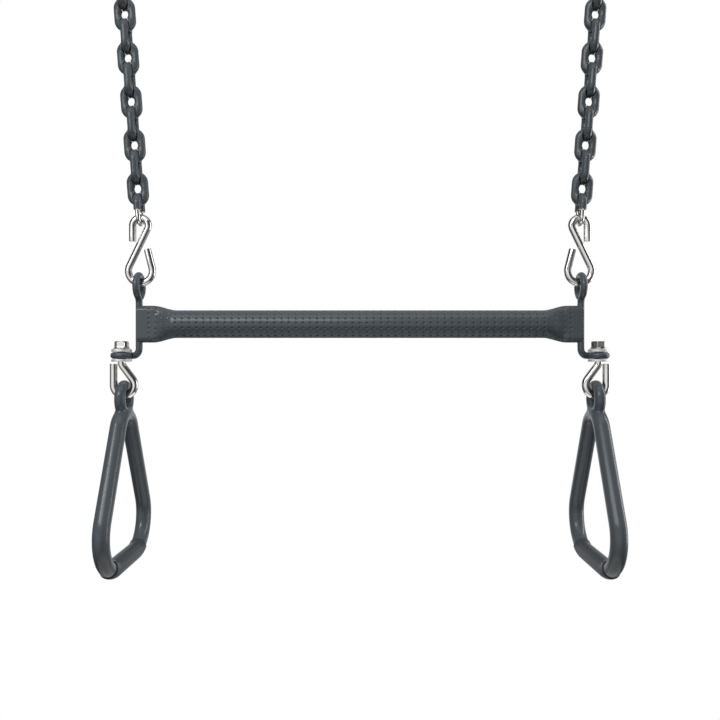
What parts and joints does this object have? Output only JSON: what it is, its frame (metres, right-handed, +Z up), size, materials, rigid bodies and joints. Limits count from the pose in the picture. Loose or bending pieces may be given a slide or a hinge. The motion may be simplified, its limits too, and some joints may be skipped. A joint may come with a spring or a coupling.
{
  "type": "trapeze bar",
  "caption": "Trapeze bar with flattened ends, hung from coated chains on S-hooks, with a swivelling triangular handle under each end.",
  "frame": {"origin": "midway between the two top hooks' bearing points, at the height where what they hang on touches the inside of their upper loops", "axes": "+X along the bar to the right, +Z up, -Y towards the viewer of the picture"},
  "size_m": [0.5218, 0.1512, 0.6709],
  "materials": {
    "frame_coat": "thick satin coat over steel, slate grey",
    "chain_coat": "smooth soft coat dipped over steel links, slate grey",
    "bright_steel": "bright zinc plate, fine drawn marks along the wire",
    "washer": "plain zinc plate, slightly dull",
    "grip": "smooth soft sleeve, slate grey"
  },
  "bodies": {
    "top_hooks": {"top_s_hook_left": "bright_steel", "top_s_hook_right": "bright_steel"},
    "link_left_11": {"chain_link_left_11": "chain_coat"},
    "link_left_10": {"chain_link_left_10": "chain_coat"},
    "link_left_09": {"chain_link_left_09": "chain_coat"},
    "link_left_08": {"chain_link_left_08": "chain_coat"},
    "link_left_07": {"chain_link_left_07": "chain_coat"},
    "link_left_06": {"chain_link_left_06": "chain_coat"},
    "link_left_05": {"chain_link_left_05": "chain_coat"},
    "link_left_04": {"chain_link_left_04": "chain_coat"},
    "link_left_03": {"chain_link_left_03": "chain_coat"},
    "link_left_02": {"chain_link_left_02": "chain_coat"},
    "link_left_01": {"chain_link_left_01": "chain_coat"},
    "hook_left": {"lower_s_hook_left": "bright_steel"},
    "link_right_11": {"chain_link_right_11": "chain_coat"},
    "link_right_10": {"chain_link_right_10": "chain_coat"},
    "link_right_09": {"chain_link_right_09": "chain_coat"},
    "link_right_08": {"chain_link_right_08": "chain_coat"},
    "link_right_07": {"chain_link_right_07": "chain_coat"},
    "link_right_06": {"chain_link_right_06": "chain_coat"},
    "link_right_05": {"chain_link_right_05": "chain_coat"},
    "link_right_04": {"chain_link_right_04": "chain_coat"},
    "link_right_03": {"chain_link_right_03": "chain_coat"},
    "link_right_02": {"chain_link_right_02": "chain_coat"},
    "link_right_01": {"chain_link_right_01": "chain_coat"},
    "hook_right": {"lower_s_hook_right": "bright_steel"},
    "bar": {"bar_tube": "frame_coat", "hanger_rod_left": "frame_coat", "hanger_rod_right": "frame_coat"},
    "swivel_left": {"swivel_hook_left": "bright_steel", "flange_nut_left": "bright_steel", "upper_washer_left": "washer", "lower_washer_left": "washer"},
    "handle_left": {"handle_frame_left": "frame_coat", "handle_grip_left": "grip"},
    "swivel_right": {"swivel_hook_right": "bright_steel", "flange_nut_right": "bright_steel", "upper_washer_right": "washer", "lower_washer_right": "washer"},
    "handle_right": {"handle_frame_right": "frame_coat", "handle_grip_right": "grip"}
  },
  "joints": [
    {"name": "link_swing_left_11", "type": "hinge", "parent": "top_hooks", "child": "link_left_11", "pos_m": [-0.24357, 0, -0.0633], "axis": [1, 0, 0], "range_deg": [-45, 45]},
    {"name": "link_swing_left_10", "type": "hinge", "parent": "link_left_11", "child": "link_left_10", "pos_m": [-0.24221, 0, -0.07929], "axis": [1, 0, 0], "range_deg": [-20, 20]},
    {"name": "link_swing_left_09", "type": "hinge", "parent": "link_left_10", "child": "link_left_09", "pos_m": [-0.24053, 0, -0.10681], "axis": [1, 0, 0], "range_deg": [-20, 20]},
    {"name": "link_swing_left_08", "type": "hinge", "parent": "link_left_09", "child": "link_left_08", "pos_m": [-0.23885, 0, -0.12416], "axis": [1, 0, 0], "range_deg": [-20, 20]},
    {"name": "link_swing_left_07", "type": "hinge", "parent": "link_left_08", "child": "link_left_07", "pos_m": [-0.23718, 0, -0.15169], "axis": [1, 0, 0], "range_deg": [-20, 20]},
    {"name": "link_swing_left_06", "type": "hinge", "parent": "link_left_07", "child": "link_left_06", "pos_m": [-0.2355, 0, -0.16904], "axis": [1, 0, 0], "range_deg": [-20, 20]},
    {"name": "link_swing_left_05", "type": "hinge", "parent": "link_left_06", "child": "link_left_05", "pos_m": [-0.23383, 0, -0.19656], "axis": [1, 0, 0], "range_deg": [-20, 20]},
    {"name": "link_swing_left_04", "type": "hinge", "parent": "link_left_05", "child": "link_left_04", "pos_m": [-0.23215, 0, -0.21391], "axis": [1, 0, 0], "range_deg": [-20, 20]},
    {"name": "link_swing_left_03", "type": "hinge", "parent": "link_left_04", "child": "link_left_03", "pos_m": [-0.23048, 0, -0.24144], "axis": [1, 0, 0], "range_deg": [-20, 20]},
    {"name": "link_swing_left_02", "type": "hinge", "parent": "link_left_03", "child": "link_left_02", "pos_m": [-0.2288, 0, -0.25879], "axis": [1, 0, 0], "range_deg": [-20, 20]},
    {"name": "link_swing_left_01", "type": "hinge", "parent": "link_left_02", "child": "link_left_01", "pos_m": [-0.22744, 0, -0.28631], "axis": [1, 0, 0], "range_deg": [-20, 20]},
    {"name": "hook_swing_left", "type": "hinge", "parent": "link_left_01", "child": "hook_left", "pos_m": [-0.2261, 0, -0.3023], "axis": [1, 0, 0], "range_deg": [-35, 35]},
    {"name": "link_swing_right_11", "type": "hinge", "parent": "top_hooks", "child": "link_right_11", "pos_m": [0.24357, 0, -0.0633], "axis": [1, 0, 0], "range_deg": [-45, 45]},
    {"name": "link_swing_right_10", "type": "hinge", "parent": "link_right_11", "child": "link_right_10", "pos_m": [0.24221, 0, -0.07929], "axis": [1, 0, 0], "range_deg": [-20, 20]},
    {"name": "link_swing_right_09", "type": "hinge", "parent": "link_right_10", "child": "link_right_09", "pos_m": [0.24053, 0, -0.10681], "axis": [1, 0, 0], "range_deg": [-20, 20]},
    {"name": "link_swing_right_08", "type": "hinge", "parent": "link_right_09", "child": "link_right_08", "pos_m": [0.23885, 0, -0.12416], "axis": [1, 0, 0], "range_deg": [-20, 20]},
    {"name": "link_swing_right_07", "type": "hinge", "parent": "link_right_08", "child": "link_right_07", "pos_m": [0.23718, 0, -0.15169], "axis": [1, 0, 0], "range_deg": [-20, 20]},
    {"name": "link_swing_right_06", "type": "hinge", "parent": "link_right_07", "child": "link_right_06", "pos_m": [0.2355, 0, -0.16904], "axis": [1, 0, 0], "range_deg": [-20, 20]},
    {"name": "link_swing_right_05", "type": "hinge", "parent": "link_right_06", "child": "link_right_05", "pos_m": [0.23383, 0, -0.19656], "axis": [1, 0, 0], "range_deg": [-20, 20]},
    {"name": "link_swing_right_04", "type": "hinge", "parent": "link_right_05", "child": "link_right_04", "pos_m": [0.23215, 0, -0.21391], "axis": [1, 0, 0], "range_deg": [-20, 20]},
    {"name": "link_swing_right_03", "type": "hinge", "parent": "link_right_04", "child": "link_right_03", "pos_m": [0.23048, 0, -0.24144], "axis": [1, 0, 0], "range_deg": [-20, 20]},
    {"name": "link_swing_right_02", "type": "hinge", "parent": "link_right_03", "child": "link_right_02", "pos_m": [0.2288, 0, -0.25879], "axis": [1, 0, 0], "range_deg": [-20, 20]},
    {"name": "link_swing_right_01", "type": "hinge", "parent": "link_right_02", "child": "link_right_01", "pos_m": [0.22744, 0, -0.28631], "axis": [1, 0, 0], "range_deg": [-20, 20]},
    {"name": "hook_swing_right", "type": "hinge", "parent": "link_right_01", "child": "hook_right", "pos_m": [0.2261, 0, -0.3023], "axis": [1, 0, 0], "range_deg": [-35, 35]},
    {"name": "bar_swing", "type": "hinge", "parent": "hook_left", "child": "bar", "pos_m": [-0.2261, 0, -0.36931], "axis": [1, 0, 0], "range_deg": [-40, 40]},
    {"name": "swivel_turn_left", "type": "hinge", "parent": "bar", "child": "swivel_left", "pos_m": [-0.2454, 0, -0.43329], "axis": [0, 0, 1], "continuous": true},
    {"name": "handle_swing_left", "type": "hinge", "parent": "swivel_left", "child": "handle_left", "pos_m": [-0.24291, 0, -0.48505], "axis": [1, 0, 0], "range_deg": [-75, 75]},
    {"name": "swivel_turn_right", "type": "hinge", "parent": "bar", "child": "swivel_right", "pos_m": [0.2454, 0, -0.43329], "axis": [0, 0, 1], "continuous": true},
    {"name": "handle_swing_right", "type": "hinge", "parent": "swivel_right", "child": "handle_right", "pos_m": [0.24291, 0, -0.48505], "axis": [1, 0, 0], "range_deg": [-75, 75]}
  ],
  "couplings": [
    {"joint": "link_swing_right_11", "follows": "link_swing_left_11", "ratio": 1},
    {"joint": "link_swing_right_10", "follows": "link_swing_left_10", "ratio": 1},
    {"joint": "link_swing_right_09", "follows": "link_swing_left_09", "ratio": 1},
    {"joint": "link_swing_right_08", "follows": "link_swing_left_08", "ratio": 1},
    {"joint": "link_swing_right_07", "follows": "link_swing_left_07", "ratio": 1},
    {"joint": "link_swing_right_06", "follows": "link_swing_left_06", "ratio": 1},
    {"joint": "link_swing_right_05", "follows": "link_swing_left_05", "ratio": 1},
    {"joint": "link_swing_right_04", "follows": "link_swing_left_04", "ratio": 1},
    {"joint": "link_swing_right_03", "follows": "link_swing_left_03", "ratio": 1},
    {"joint": "link_swing_right_02", "follows": "link_swing_left_02", "ratio": 1},
    {"joint": "link_swing_right_01", "follows": "link_swing_left_01", "ratio": 1},
    {"joint": "hook_swing_right", "follows": "hook_swing_left", "ratio": 1}
  ]
}
